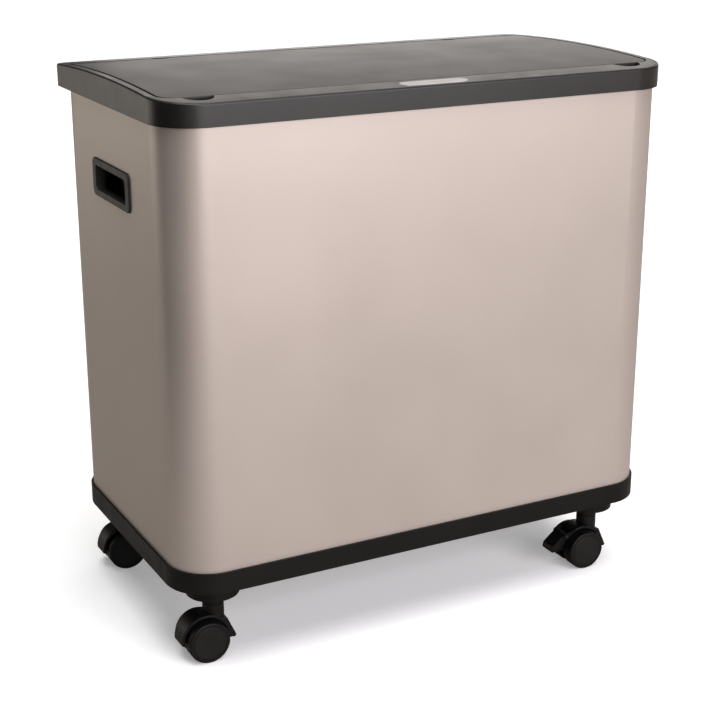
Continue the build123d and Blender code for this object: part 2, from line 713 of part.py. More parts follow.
def make_hood(with_brake):
    half = hood_width / 2
    web = web_thickness / 2
    tip_x = wheel_x + wheel_radius + tip_reach
    tip_z = wheel_z - tip_drop
    upper = Pos(wheel_x, wheel_z - 2 + far / 2) * Rectangle(far, far)
    fender = disc(fender_radius) & upper
    tip = make_face(Polyline(
        (0, wheel_diameter), (hood_neck_radius, wheel_diameter - hood_shoulder),
        (tip_x - tip_slant, tip_z + tip_nose), (tip_x, tip_z), (tip_x - tip_width, tip_z - tip_chin),
        (wheel_x, wheel_z), (0, wheel_diameter)))
    hood = xz_slab(fender + tip, -half, half)
    hood += rod_z(0, 0, wheel_z, hood_top, hood_neck_radius)
    hood -= xz_slab(disc(well_radius), web, far)
    hood -= xz_slab(disc(well_radius), -far, -web)
    hood += rod_y(wheel_x, -web, web, wheel_z, axle_radius * 3)
    hood &= block(-far, far, -half, half, 0, far)
    sides = hood.edges().filter_by(lambda edge: abs(abs(edge.center().Y) - half) < 0.01)
    sides = sides.filter_by(lambda edge: hood_outer(edge.center().X, edge.center().Z))
    hood = fillet(sides, hood_edge)
    hood -= rod_y(wheel_x, -far, far, wheel_z, axle_radius + running_gap)
    hood -= rod_z(0, 0, stem_foot - snug_gap, far, stem_radius + running_gap)
    if with_brake:
        reach = 3 * fender_radius
        sector = make_face(Polyline(
            (wheel_x, wheel_z), (wheel_x + reach * math.cos(gate_angle), wheel_z + reach * math.sin(gate_angle)),
            (wheel_x - reach, wheel_z), (wheel_x - reach, wheel_z - reach), (wheel_x, wheel_z)))
        hood -= xz_slab(sector - disc(gate_radius), -half, half)
        ear_link = make_face(Polyline(
            (pin_x, pin_z + pedal_ear),
            (wheel_x - 4, wheel_z + fender_radius - 1), (wheel_x - 4, wheel_z + well_radius),
            (wheel_x + well_radius * math.cos(pin_angle - 0.2), wheel_z + well_radius * math.sin(pin_angle - 0.2)),
            (pin_x, pin_z - pedal_ear + 0.4), (pin_x, pin_z + pedal_ear)))
        ear = (Pos(pin_x, pin_z) * Circle(pedal_ear) + ear_link) - disc(well_radius)
        for low, high in ((pedal_width / 2 + snug_gap, half), (-half, -pedal_width / 2 - snug_gap)):
            hood += xz_slab(ear, low, high)
        hood -= rod_y(pin_x, -far, far, pin_z, pedal_pin_radius + running_gap / 2)
    return hood


def make_pedal():
    clear = wheel_radius + pedal_clear
    edge = wheel_x - wheel_radius
    foremost = edge - pedal_reach
    skirt_front = edge - pedal_skirt_front
    skirt_low = wheel_z - pedal_skirt
    shape = make_face(Polyline(
        (pin_x, pin_z + pedal_eye), (edge - pedal_heel, pin_z - pedal_heel_drop),
        (foremost + pedal_toe_back, wheel_z + pedal_toe_top), (foremost, wheel_z + pedal_toe),
        (foremost + pedal_sole_back, wheel_z - pedal_sole), (edge - pedal_sole_rise, wheel_z - pedal_sole_drop),
        (skirt_front, skirt_low), (skirt_front + pedal_skirt_width, skirt_low),
        (edge + pedal_root, wheel_z), (pin_x, pin_z + pedal_eye)))
    shape = fillet(shape.vertices().sort_by(Axis.X)[:3], pedal_round)
    shape += Pos(pin_x, pin_z) * Circle(pedal_eye)
    shape -= disc(clear)
    half = pedal_width / 2
    pedal = xz_slab(shape, -half, half)
    # the tip is a rounded tongue: seen from the front, its two lower corners are arcs
    tongue = Pos(0, wheel_z - pedal_sole_drop + far / 2) * Rectangle(pedal_width, far)
    tongue = fillet(tongue.vertices().group_by(Axis.Y)[0], pedal_corner)
    ahead = extrude(Plane.YZ.offset(skirt_front) * tongue, amount=-far)
    pedal = (pedal & ahead) + (pedal & block(skirt_front, far, -half, half, 0, far))
    pedal = pedal.solids().sort_by(SortBy.VOLUME)[-1]
    return pedal - rod_y(pin_x, -far, far, pin_z, pedal_pin_radius + running_gap)


def make_wheel(side):
    bore = axle_radius + running_gap
    profile = make_face(Polyline(
        (bore, wheel_near), (hub_radius, wheel_near), (hub_radius, wheel_far - wheel_dish),
        (wheel_radius - tyre_wall, wheel_far - wheel_dish), (wheel_radius - tyre_wall, wheel_near),
        (wheel_radius, wheel_near), (wheel_radius, wheel_far), (cap_radius + running_gap, wheel_far),
        (cap_radius + running_gap, wheel_far - cap_seat), (0, wheel_far - cap_seat),
        (0, wheel_far - axle_cover + snug_gap), (bore, wheel_far - axle_cover + snug_gap), (bore, wheel_near)))
    profile = fillet(profile.vertices().group_by(Axis.X)[-1], wheel_edge)
    wheel = revolve(Plane.XY * profile, Axis.Y)
    wheel = Pos(wheel_x, 0, wheel_z) * wheel
    return wheel if side > 0 else mirror(wheel, Plane.XZ)


def make_wheel_cap(side):
    cap = rod_y(wheel_x, wheel_far - cap_seat, wheel_far + cap_proud, wheel_z, cap_radius)
    cap = fillet(cap.faces().sort_by(Axis.Y)[-1].edges(), cap_edge)
    return cap if side > 0 else mirror(cap, Plane.XZ)


def make_axle():
    half = wheel_far - axle_cover
    return rod_y(wheel_x, -half, half, wheel_z, axle_radius)


def make_stem():
    stem = rod_z(0, 0, stem_foot, stem_top, stem_radius)
    return chamfer(stem.faces().sort_by(Axis.Z)[-1].edges(), stem_point)


def make_socket():
    socket = rod_z(0, 0, neck_bottom, boss_bottom, neck_radius)
    socket += rod_z(0, 0, neck_bottom, socket_top, socket_radius)
    return socket - rod_z(0, 0, 0, stem_top + snug_gap, stem_radius + running_gap)


def add_casters():
    sockets = []
    for place, (side, y) in stems.items():
        seat = Pos(side * (body_half_x - stem_inset_side), y, 0)
        sockets.append(seat * make_socket())
        pieces["caster_stem_" + place] = seat * make_stem()
        pieces["caster_hood_" + place] = seat * make_hood(place in braked)
        pieces["caster_axle_" + place] = seat * make_axle()
        for half, name in ((-1, "a"), (1, "b")):
            pieces["caster_wheel_%s_%s" % (name, place)] = seat * make_wheel(half)
            pieces["wheel_cap_%s_%s" % (name, place)] = seat * make_wheel_cap(half)
        if place in braked:
            pieces["brake_pedal_" + place] = seat * make_pedal()
            half = hood_width / 2
            pieces["brake_pin_" + place] = seat * rod_y(pin_x, -half, half, pin_z, pedal_pin_radius)
    pieces["caster_sockets"] = group(sockets)


# ---------------------------------------------------------------- the whole sorter
pieces["body_shell"] = make_body_shell()
pieces["base_tray"] = make_base_tray()
pieces["top_collar"] = make_top_collar()
pieces["front_inlay"] = make_front_inlay()
pieces["lid_panel"] = make_lid_panel()
pieces["lid_liner"] = make_lid_liner()
pieces["hinge_pins"] = make_hinge_pins()
pieces["lid_bumpers"] = make_lid_bumpers()
pieces["divider_bar"] = make_divider_bar()
pieces["base_screws"] = make_base_screws()
pieces["collar_screws"] = make_collar_screws()
pieces["divider_screws"] = make_divider_screws()
pieces["lid_screws"] = make_lid_screws()
pieces["handle_screws"] = make_handle_screws()
for half, name in ((-1, "left"), (1, "right")):
    pieces["handle_bezel_" + name] = make_handle_bezel(half)
    pieces["handle_cup_" + name] = make_handle_cup(half)
    pieces["bag_rim_" + name] = make_bag_rim(half)
    pieces["laundry_bag_" + name] = make_laundry_bag(half)
    pieces["bag_handles_" + name] = make_bag_handles(half)
add_casters()

os.makedirs("parts", exist_ok=True)
for node, piece in pieces.items():
    export_step(piece, "parts/" + node + ".step")
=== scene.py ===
import math

import bmesh
import bpy
from mathutils import Euler, Matrix, Vector, noise


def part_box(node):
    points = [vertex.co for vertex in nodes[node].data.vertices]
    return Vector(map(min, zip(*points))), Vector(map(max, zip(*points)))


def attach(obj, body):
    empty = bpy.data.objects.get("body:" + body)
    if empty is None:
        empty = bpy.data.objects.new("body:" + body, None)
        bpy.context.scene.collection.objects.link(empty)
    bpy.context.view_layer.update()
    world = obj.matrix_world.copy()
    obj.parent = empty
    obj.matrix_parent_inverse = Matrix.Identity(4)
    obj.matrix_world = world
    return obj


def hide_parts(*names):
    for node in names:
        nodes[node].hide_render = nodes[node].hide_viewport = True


# Laundry sorter on wheels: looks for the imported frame. Metres, +Z up, -Y is the front.
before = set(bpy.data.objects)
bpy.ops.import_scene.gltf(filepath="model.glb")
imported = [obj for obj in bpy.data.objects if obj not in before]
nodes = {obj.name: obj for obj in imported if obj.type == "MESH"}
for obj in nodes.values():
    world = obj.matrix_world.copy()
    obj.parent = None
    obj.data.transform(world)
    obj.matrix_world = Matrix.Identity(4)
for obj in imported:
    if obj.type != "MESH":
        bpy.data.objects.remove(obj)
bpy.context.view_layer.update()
print("frame loaded,", len(nodes), "nodes")


# the camera stands front left, a little above the lid: metres, degrees and millimetres
view = {"place": (-0.85427, -1.61527, 0.89165), "yaw": 27.78, "pitch": 18.54, "lens": 76.97, "sensor": 36}

cameraData = bpy.data.cameras.new("camera")
cameraData.lens = view["lens"]
cameraData.sensor_width = view["sensor"]
camera = bpy.data.objects.new("camera", cameraData)
camera.location = view["place"]
camera.rotation_euler = Euler((math.radians(90 - view["pitch"]), 0, math.radians(-view["yaw"])))
bpy.context.scene.collection.objects.link(camera)
bpy.context.scene.camera = camera
bpy.context.scene.view_settings.view_transform = "Standard"
print("camera placed")


def linearColour(code):
    # an sRGB hex code as the linear colour a socket takes
    parts = [int(code[i:i + 2], 16) / 255 for i in (1, 3, 5)]
    return tuple(c / 12.92 if c <= 0.04045 else ((c + 0.055) / 1.055) ** 2.4 for c in parts) + (1.0,)


def addNode(tree, kind, settings=None, links=None):
    # settings are a node's sockets, by name or number, or its own choices; links feed its sockets
    node = tree.nodes.new(kind)
    for name, value in (settings or {}).items():
        if isinstance(name, int) or name in node.inputs.keys():
            node.inputs[name].default_value = value
        else:
            setattr(node, name, value)
    for name, socket in (links or {}).items():
        tree.links.new(socket, node.inputs[name])
    return node


def newMaterial(name, settings):
    material = bpy.data.materials.new(name)
    material.use_nodes = True
    tree = material.node_tree
    tree.nodes.clear()
    shader = addNode(tree, "ShaderNodeBsdfPrincipled", settings)
    addNode(tree, "ShaderNodeOutputMaterial", None, {"Surface": shader.outputs["BSDF"]})
    return material, tree, shader


def colourRamp(tree, value, low, high, dark, light):
    # dark up to the low value, light from the high one
    ramp = addNode(tree, "ShaderNodeValToRGB", None, {"Fac": value})
    for stop, position, code in zip(ramp.color_ramp.elements, (low, high), (dark, light)):
        stop.position = position
        stop.color = linearColour(code)
    return ramp


def mottle(tree, place, size, low, high, dark, light):
    # slow colour drift: size in metres, low and high are where the noise starts and stops
    noiseNode = addNode(tree, "ShaderNodeTexNoise", {"Scale": 1 / size, "Detail": 3.0}, {"Vector": place})
    return colourRamp(tree, noiseNode.outputs["Fac"], low, high, dark, light)


def grain(tree, place, size, height):
    # fine relief: size of a grain and its height, in metres
    noiseNode = addNode(tree, "ShaderNodeTexNoise", {"Scale": 1 / size, "Detail": 2.0}, {"Vector": place})
    return addNode(tree, "ShaderNodeBump", {"Distance": height, "Strength": 1.0},
                   {"Height": noiseNode.outputs["Fac"]})


def spread(tree, place, size, low, high):
    # roughness that drifts between low and high over patches of that size
    noiseNode = addNode(tree, "ShaderNodeTexNoise", {"Scale": 1 / size, "Detail": 4.0}, {"Vector": place})
    return addNode(tree, "ShaderNodeMapRange",
                   {"From Min": 0.3, "From Max": 0.7, "To Min": low, "To Max": high},
                   {"Value": noiseNode.outputs["Fac"]})


def objectPlace(tree):
    return addNode(tree, "ShaderNodeTexCoord").outputs["Object"]


def joinFinish(tree, shader, colour, rough, relief):
    tree.links.new(colour.outputs["Color"], shader.inputs["Base Color"])
    tree.links.new(rough.outputs["Result"], shader.inputs["Roughness"])
    tree.links.new(relief.outputs["Normal"], shader.inputs["Normal"])


def moulded(name, look):
    # injection-moulded plastic: one colour right through, a spark-eroded grain, slightly uneven gloss
    material, tree, shader = newMaterial(name, {"IOR": look["ior"], "Specular IOR Level": look["specular"]})
    place = objectPlace(tree)
    colour = mottle(tree, place, look["patch"], 0.35, 0.65, look["dark"], look["light"])
    rough = spread(tree, place, look["patch"] / 3, *look["rough"])    # gloss drifts faster than colour
    relief = grain(tree, place, look["grain"], look["height"])
    joinFinish(tree, shader, colour, rough, relief)
    return material


def metal(name, look):
    # bare metal: the lines of drawing, turning or brushing run along one axis
    material, tree, shader = newMaterial(name, {"Metallic": 1.0})
    place = objectPlace(tree)
    stretched = addNode(tree, "ShaderNodeMapping", {"Scale": look["stretch"]}, {"Vector": place})
    colour = mottle(tree, place, look["patch"], 0.3, 0.7, look["dark"], look["light"])
    rough = spread(tree, stretched.outputs["Vector"], look["line"], *look["rough"])
    relief = grain(tree, stretched.outputs["Vector"], look["line"], look["height"])
    joinFinish(tree, shader, colour, rough, relief)
    return material


# powder-coated steel sheet, satin champagne: fine metal flake in the coat, a soft broad highlight
coat = {
    "dark": "#B9AFA6", "light": "#C0B6AD", "patch": 0.25,
    "rough": (0.36, 0.42), "glossPatch": 0.12, "metallic": 0.45,
    "peel": 0.006, "peelHeight": 0.00008,       # orange peel, 6 mm across
    "flake": 0.0009, "flakeHeight": 0.00003,    # flakes are 0.05 mm, drawn at 0.9 so they show
}

champagneSteel, tree, shader = newMaterial("steelSheetPowderCoated", {
    "Metallic": coat["metallic"], "IOR": 1.5, "Coat Weight": 0.15, "Coat Roughness": 0.3})
place = objectPlace(tree)
colour = mottle(tree, place, coat["patch"], 0.3, 0.7, coat["dark"], coat["light"])
rough = spread(tree, place, coat["glossPatch"], *coat["rough"])
peel = grain(tree, place, coat["peel"], coat["peelHeight"])
flake = grain(tree, place, coat["flake"], coat["flakeHeight"])
tree.links.new(peel.outputs["Normal"], flake.inputs["Normal"])
joinFinish(tree, shader, colour, rough, flake)

finishes = {
    # ABS with a fine spark texture, 0.3 mm grain drawn at 1 mm: charcoal, silky at a low angle
    "collar": moulded("absMouldedCharcoal", {
        "dark": "#1D1C1A", "light": "#23211F", "rough": (0.29, 0.36), "patch": 0.09, "grain": 0.0010,
        "height": 0.00004, "ior": 1.53, "specular": 0.42}),
    "lid": moulded("absMouldedCharcoalLid", {
        "dark": "#2A2826", "light": "#2E2C29", "rough": (0.36, 0.41), "patch": 0.22, "grain": 0.0012,
        "height": 0.00005, "ior": 1.53, "specular": 0.4}),
    # polypropylene, near black and duller than the collar
    "base": moulded("polypropyleneMouldedBlack", {
        "dark": "#121211", "light": "#161614", "rough": (0.42, 0.52), "patch": 0.08, "grain": 0.0009,
        "height": 0.00004, "ior": 1.49, "specular": 0.15}),
    # polypropylene left plain inside: mid grey, matt
    "inner": moulded("polypropyleneMouldedGrey", {
        "dark": "#575550", "light": "#5B5954", "rough": (0.5, 0.58), "patch": 0.10, "grain": 0.0008,
        "height": 0.00005, "ior": 1.49, "specular": 0.4}),
    # glass-filled nylon of the grips, a shade lighter than the collar and matt
    "grip": moulded("nylonMouldedCharcoal", {
        "dark": "#262522", "light": "#2D2C29", "rough": (0.44, 0.54), "patch": 0.03, "grain": 0.0008,
        "height": 0.00005, "ior": 1.53, "specular": 0.35}),
    "hood": moulded("nylonMouldedBlack", {
        "dark": "#0E0E0D", "light": "#121211", "rough": (0.38, 0.48), "patch": 0.02, "grain": 0.0006,
        "height": 0.00003, "ior": 1.53, "specular": 0.2}),
    "tyre": moulded("nylonTyreBlack", {
        "dark": "#0C0C0B", "light": "#111110", "rough": (0.42, 0.55), "patch": 0.012, "grain": 0.0007,
        "height": 0.00004, "ior": 1.53, "specular": 0.2}),
    "cap": moulded("nylonCapBlack", {
        "dark": "#141413", "light": "#191917", "rough": (0.36, 0.44), "patch": 0.02, "grain": 0.0005,
        "height": 0.00003, "ior": 1.53, "specular": 0.25}),
    "rubber": moulded("rubberMoulded", {
        "dark": "#1C1B1A", "light": "#232220", "rough": (0.7, 0.85), "patch": 0.004, "grain": 0.0004,
        "height": 0.00003, "ior": 1.52, "specular": 0.3}),
    # aluminium strip brushed along X
    "strip": metal("aluminiumBrushed", {
        "dark": "#C4C4C6", "light": "#D2D2D3", "rough": (0.26, 0.36), "patch": 0.02, "line": 0.0004,
        "stretch": (0.02, 1, 1), "height": 0.00001}),
    # zinc-plated steel, passivated: a faint blue grey
    "zinc": metal("steelZincPlated", {
        "dark": "#9DA0A4", "light": "#B4B6B9", "rough": (0.28, 0.42), "patch": 0.003, "line": 0.0006,
        "stretch": (1, 1, 0.2), "height": 0.00001}),
    "wire": metal("steelWireDrawn", {
        "dark": "#9B9C9E", "light": "#B9BABB", "rough": (0.24, 0.36), "patch": 0.01, "line": 0.0005,
        "stretch": (0.2, 0.2, 1), "height": 0.00001}),
    "pin": metal("steelPinTurned", {
        "dark": "#8E8F91", "light": "#A9AAAC", "rough": (0.22, 0.34), "patch": 0.004, "line": 0.0004,
        "stretch": (1, 1, 1), "height": 0.00001}),
    "coat": champagneSteel,
}

# which finish a piece has, by the start of its name
finishOf = {
    "body_shell": "coat", "base_tray": "base", "top_collar": "collar", "front_inlay": "strip",
    "lid_panel": "lid", "lid_liner": "inner", "hinge_pins": "pin", "lid_bumpers": "rubber",
    "divider_bar": "inner", "handle_bezel": "grip", "handle_cup": "hood", "bag_rim": "wire",
    "caster_sockets": "base", "caster_stem": "zinc", "caster_hood": "hood", "caster_axle": "pin",
    "caster_wheel": "tyre", "wheel_cap": "cap", "brake_pedal": "hood", "brake_pin": "pin",
}

for name, node in nodes.items():
    found = [finish for start, finish in finishOf.items() if name.startswith(start)]
    finish = finishes[found[0] if found else "zinc"]    # what is left are the screws
    node.data.materials.clear()
    node.data.materials.append(finish)
print("finishes on", len(nodes), "nodes")


waveTurn = 2 * math.pi / 20    # a wave texture of scale 1 repeats over this length

# polyester oxford cloth, woven and dyed warm grey: matt with a little sheen on the yarns
cloth = {"yarn": 0.0032, "height": 0.0003,    # yarns are 0.5 mm, drawn at 3.2 so they show
         "slubsPerMetre": 60, "dark": "#8F877C", "light": "#B4ABA0"}

bagCloth, tree, shader = newMaterial("polyesterOxfordWoven", {
    "Roughness": 0.85, "Sheen Weight": 0.25, "Sheen Roughness": 0.5, "IOR": 1.5, "Specular IOR Level": 0.25})
weaveUv = addNode(tree, "ShaderNodeUVMap", {"uv_map": "weave"}).outputs["UV"]
warp = addNode(tree, "ShaderNodeTexWave", {"Scale": waveTurn / cloth["yarn"], "bands_direction": "X"},
               {"Vector": weaveUv})
weft = addNode(tree, "ShaderNodeTexWave", {"Scale": waveTurn / cloth["yarn"], "bands_direction": "Y"},
               {"Vector": weaveUv})
crossing = addNode(tree, "ShaderNodeMath", {"operation": "MULTIPLY"},
                   {0: warp.outputs["Fac"], 1: weft.outputs["Fac"]})
slub = addNode(tree, "ShaderNodeTexNoise", {"Scale": cloth["slubsPerMetre"], "Detail": 5.0},
               {"Vector": weaveUv})
# half of the crossing's height and all of the slub's
mixed = addNode(tree, "ShaderNodeMath", {"operation": "MULTIPLY_ADD", 1: 0.5},
                {0: crossing.outputs[0], 2: slub.outputs["Fac"]})
tint = colourRamp(tree, mixed.outputs[0], 0.3, 0.9, cloth["dark"], cloth["light"])
raised = addNode(tree, "ShaderNodeBump", {"Distance": cloth["height"], "Strength": 0.8},
                 {"Height": crossing.outputs[0]})
tree.links.new(tint.outputs["Color"], shader.inputs["Base Color"])
tree.links.new(raised.outputs["Normal"], shader.inputs["Normal"])

# polypropylene webbing, woven in ribs across the strap: darker than the bag
web = {"rib": 0.0028, "height": 0.0004,    # ribs are 1.5 mm, drawn at 2.8 so they show
       "dark": "#3B3733", "light": "#5B5650"}

webbing, tree, shader = newMaterial("polypropyleneWebbingWoven", {
    "Roughness": 0.75, "IOR": 1.49, "Specular IOR Level": 0.3, "Sheen Weight": 0.15})
strapUv = addNode(tree, "ShaderNodeUVMap", {"uv_map": "weave"}).outputs["UV"]
ribs = addNode(tree, "ShaderNodeTexWave",
               {"Scale": waveTurn / web["rib"], "bands_direction": "X", "Distortion": 0.4},
               {"Vector": strapUv})
ribTint = colourRamp(tree, ribs.outputs["Fac"], 0, 1, web["dark"], web["light"])
ribRaised = addNode(tree, "ShaderNodeBump", {"Distance": web["height"], "Strength": 0.8},
                    {"Height": ribs.outputs["Fac"]})
tree.links.new(ribTint.outputs["Color"], shader.inputs["Base Color"])
tree.links.new(ribRaised.outputs["Normal"], shader.inputs["Normal"])

# spun polyester thread, off white and a little uneven
thread, tree, shader = newMaterial("polyesterThreadSpun", {"Roughness": 0.7, "IOR": 1.5})
threadTint = mottle(tree, objectPlace(tree), 0.002, 0.3, 0.7, "#CFC8BC", "#E2DCD2")
tree.links.new(threadTint.outputs["Color"], shader.inputs["Base Color"])
print("cloth, webbing and thread mixed")


def addPiece(shape, name, material):
    mesh = bpy.data.meshes.new(name)
    shape.to_mesh(mesh)
    shape.free()
    mesh.materials.append(material)
    piece = bpy.data.objects.new(name, mesh)
    bpy.context.scene.collection.objects.link(piece)
    return piece


def finishPiece(shape, name, material, body):
    piece = addPiece(shape, name, material)
    for face in piece.data.polygons:
        face.use_smooth = True
    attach(piece, body)
    return piece


# a cloth bag is a sewn shell that hangs from its wire, folded over it in a sleeve
bag = {
    "wireRadius": 0.0025,          # of the rim the sleeve goes round
    "wireCorner": 0.030,
    "wall": 0.0009,
    "sleeveGap": 0.0004,           # between wire and cloth
    "sleeveRun": 0.020,            # cloth that the sleeve takes
    "wrapFrom": -150,              # degrees round the wire where the cloth starts, inside and below
    "wrapTurn": 330,               # and how far it goes round
    "around": 168,                 # faces round the bag
    "down": 52,                    # faces from the sleeve to the seam at the bottom
    "wrapRows": 12,                # of them go round the wire
    "girth": 1.00,
    "throat": 0.006,               # from under the wire down to where the walls start
    "neckShare": 0.11,             # of the rows under the wire, those in the throat
    "wallInset": (0.0125, 0.0120, 0.0175, 0.0140),    # CAD hem edge to bag wall: middle, front, side, back
    "corner": 0.028,
    "bottomRings": (0.012, 0.025, 0.03),
    "seamReach": 0.001,            # edges this near the lowest point belong to the seam
    "weld": 0.00002,
    "sag": 0.007,                  # deepest fold, inwards
    "folds": 5.3,                  # round the bag
    "wander": 3,                   # radians that a fold strays sideways
    "wanderScale": (8, 2),         # strays round the bag and down it
    "rippleScale": (26, 9),        # ripples a metre, across and up
    "waveShare": 0.65,             # of a fold's depth, and the rest is ripple
    "rippleShare": 0.35,
    "deepens": (0.1, 0.5),         # shares of the fall where folds start and reach full depth
    "strapClear": (0.075, 0.095),  # from the strap's middle: no folds within the first, full past the second
    "strapEnd": (0.52, 0.48),      # heights over which they come back under the straps
    "tuckHeight": 0.06,            # over the seam, where folds shrink to half
}


def smooth(start, end, value):
    t = min(1, max(0, (value - start) / (end - start)))
    return t * t * (3 - 2 * t)


def roundedRing(share, low, high, corner):
    # point and outward direction at a share of the way round a rounded rectangle
    width, depth = high.x - low.x, high.y - low.y
    straightX, straightY, arc = width - 2 * corner, depth - 2 * corner, math.pi / 2 * corner
    total = 2 * (straightX + straightY) + 4 * arc
    run = (share % 1) * total
    starts = [
        (Vector((low.x + corner, low.y)), Vector((1, 0)), straightX),
        (Vector((high.x, low.y + corner)), Vector((0, 1)), straightY),
        (Vector((high.x - corner, high.y)), Vector((-1, 0)), straightX),
        (Vector((low.x, high.y - corner)), Vector((0, -1)), straightY),
    ]
    for start, along, length in starts:
        outward = Vector((along.y, -along.x))
        if run <= length:
            return start + along * run, outward
        run -= length
        if run <= arc:
            turn = run / corner
            centre = start + along * length - outward * corner
            leaning = outward * math.cos(turn) + along * math.sin(turn)
            return centre + leaning * corner, leaning
        run -= arc
    return starts[0][0], Vector((0, -1))


def makeBag(side, sign):
    rimLow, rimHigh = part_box("bag_rim_" + side)
    hemLow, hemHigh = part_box("laundry_bag_" + side)
    wire = bag["wireRadius"]
    sleeve = wire + bag["sleeveGap"] + bag["wall"] / 2
    wireZ = (rimLow.z + rimHigh.z) / 2
    middleInset, frontInset, sideInset, backInset = bag["wallInset"]
    leftInset, rightInset = (middleInset, sideInset) if sign > 0 else (sideInset, middleInset)
    wallLow = Vector((hemLow.x + leftInset, hemLow.y + frontInset))
    wallHigh = Vector((hemHigh.x - rightInset, hemHigh.y - backInset))
    wireLow = Vector((rimLow.x + wire, rimLow.y + wire))
    wireHigh = Vector((rimHigh.x - wire, rimHigh.y - wire))
    strapX = (wallLow.x + wallHigh.x) / 2
    bottomZ = hemLow.z + bag["wall"]
    mouthZ = wireZ - wire - bag["throat"]

    # a flat piece of cloth, wrapped round the wire and down the walls row by row
    shape = bmesh.new()
    bmesh.ops.create_grid(shape, x_segments=bag["around"], y_segments=bag["down"], size=0.5)
    weave = shape.loops.layers.uv.new("weave")
    laid = {}
    for vert in shape.verts:
        share, row = vert.co.x + 0.5, (0.5 - vert.co.y) * bag["down"]
        wirePoint, wireOut = roundedRing(share, wireLow, wireHigh, bag["wireCorner"])
        if row <= bag["wrapRows"]:
            turn = math.radians(bag["wrapFrom"] + bag["wrapTurn"] * row / bag["wrapRows"])
            at = wirePoint + wireOut * math.cos(turn) * sleeve
            z, run = wireZ + math.sin(turn) * sleeve, bag["sleeveRun"] * row / bag["wrapRows"]
        else:
            wallPoint, wallOut = roundedRing(share, wallLow, wallHigh, bag["corner"])
            fall = (row - bag["wrapRows"]) / (bag["down"] - bag["wrapRows"])
            neck = smooth(0, bag["neckShare"], fall)
            at = (wirePoint - wireOut * sleeve).lerp(wallPoint, neck)
            if fall < bag["neckShare"]:
                z = wireZ + (mouthZ - wireZ) * fall / bag["neckShare"]
            else:
                low = (fall - bag["neckShare"]) / (1 - bag["neckShare"])
                z = mouthZ + (bottomZ - mouthZ) * low
            # folds: none at the mouth or behind the straps, deepest low down
            strayRound, strayDown = bag["wanderScale"]
            stray = bag["wander"] * noise.noise((share * strayRound, fall * strayDown, sign))
            wave = 0.5 + 0.5 * math.sin(2 * math.pi * bag["folds"] * share + stray)
            rippleAcross, rippleUp = bag["rippleScale"]
            ripple = 0.5 + 0.5 * noise.noise((at.x * rippleAcross, at.y * rippleAcross, z * rippleUp + sign))
            beside = smooth(*bag["strapClear"], abs(at.x - strapX))
            under = smooth(*bag["strapEnd"], z)
            free = max(beside, under, abs(wallOut.x))
            tuck = smooth(0, bag["tuckHeight"], z - bottomZ) * 0.5 + 0.5
            fold = bag["waveShare"] * wave + bag["rippleShare"] * ripple
            at = at - wallOut * bag["sag"] * smooth(*bag["deepens"], fall) * free * tuck * fold
            run = bag["sleeveRun"] + wireZ - z
        laid[vert] = (Vector((at.x, at.y, z)), share * bag["girth"], run)
    for face in shape.faces:
        for loop in face.loops:
            loop[weave].uv = laid[loop.vert][1:]
    for vert in shape.verts:
        vert.co = laid[vert][0]
    bmesh.ops.remove_doubles(shape, verts=shape.verts, dist=bag["weld"])

    # the bottom panel is let in flat at the seam, in rings that follow the walls
    seamTop = min(vert.co.z for vert in shape.verts) + bag["seamReach"]
    seam = [edge for edge in shape.edges if edge.is_boundary and edge.verts[0].co.z < seamTop]
    panel = bmesh.ops.holes_fill(shape, edges=seam, sides=0)["faces"]
    for width in bag["bottomRings"]:
        inset = bmesh.ops.inset_region(shape, faces=panel, thickness=width, depth=0, use_even_offset=True)
        ring = inset["faces"]
        for face in ring + panel:
            for loop in face.loops:
                loop[weave].uv = (loop.vert.co.x, loop.vert.co.y)
    bmesh.ops.recalc_face_normals(shape, faces=shape.faces)
    piece = finishPiece(shape, "bag_cloth_" + side, bagCloth, "root")
    thicken = piece.modifiers.new("wall", "SOLIDIFY")
    thicken.thickness, thicken.offset = bag["wall"], 0
    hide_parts("laundry_bag_" + side)
    width, length = wallHigh.x - wallLow.x, wallHigh.y - wallLow.y


stitch = {
    "radius": 0.00045, "sides": 6,
    "step": 0.0021,         # from one hole to the next
    "overlap": 1.3,         # a thread's length in steps, as it dips into the cloth
    "proud": 0.4,           # of its radius, how far its middle stands off the cloth
    "underWire": 0.0015,    # how far under the wire's middle the row that closes the sleeve runs
}


def addStitches(shape, line):
    # a short round thread between every other pair of points
    for start, end in list(zip(line, line[1:]))[::2]:
        along = end - start
        turn = Vector((0, 0, 1)).rotation_difference(along).to_matrix().to_4x4()
        bmesh.ops.create_cone(
            shape, cap_ends=True, segments=stitch["sides"],
            radius1=stitch["radius"], radius2=stitch["radius"], depth=along.length * stitch["overlap"],
            matrix=Matrix.Translation((start + end) / 2) @ turn)


# a strap is webbing that hangs down from the hem in a U and is sewn on at both tops
strap = {
    "width": 0.025, "thickness": 0.0016,
    "span": 0.110, "drop": 0.085, "corner": 0.0275,
    "steps": 9,         # of the line down a leg, and as many round a corner
    "belly": 0.006,     # how far the loop stands off the cloth
    "sewn": 0.030,      # length of the sewn box
    "margin": 0.003,    # from the strap's edge to the stitches
    "edge": 0.0004,
}


def strapLine():
    # half of the hanging line in X and Z about its top, then its mirror image
    half, drop, corner = strap["span"] / 2, strap["drop"], strap["corner"]
    leg = [Vector((-half, -(drop - corner) * i / strap["steps"])) for i in range(strap["steps"])]
    for i in range(strap["steps"] + 1):
        turn = math.pi / 2 * i / strap["steps"]
        leg.append(Vector((-half + corner * (1 - math.cos(turn)), corner - drop - corner * math.sin(turn))))
    return leg + [Vector((-p.x, p.y)) for p in reversed(leg)]


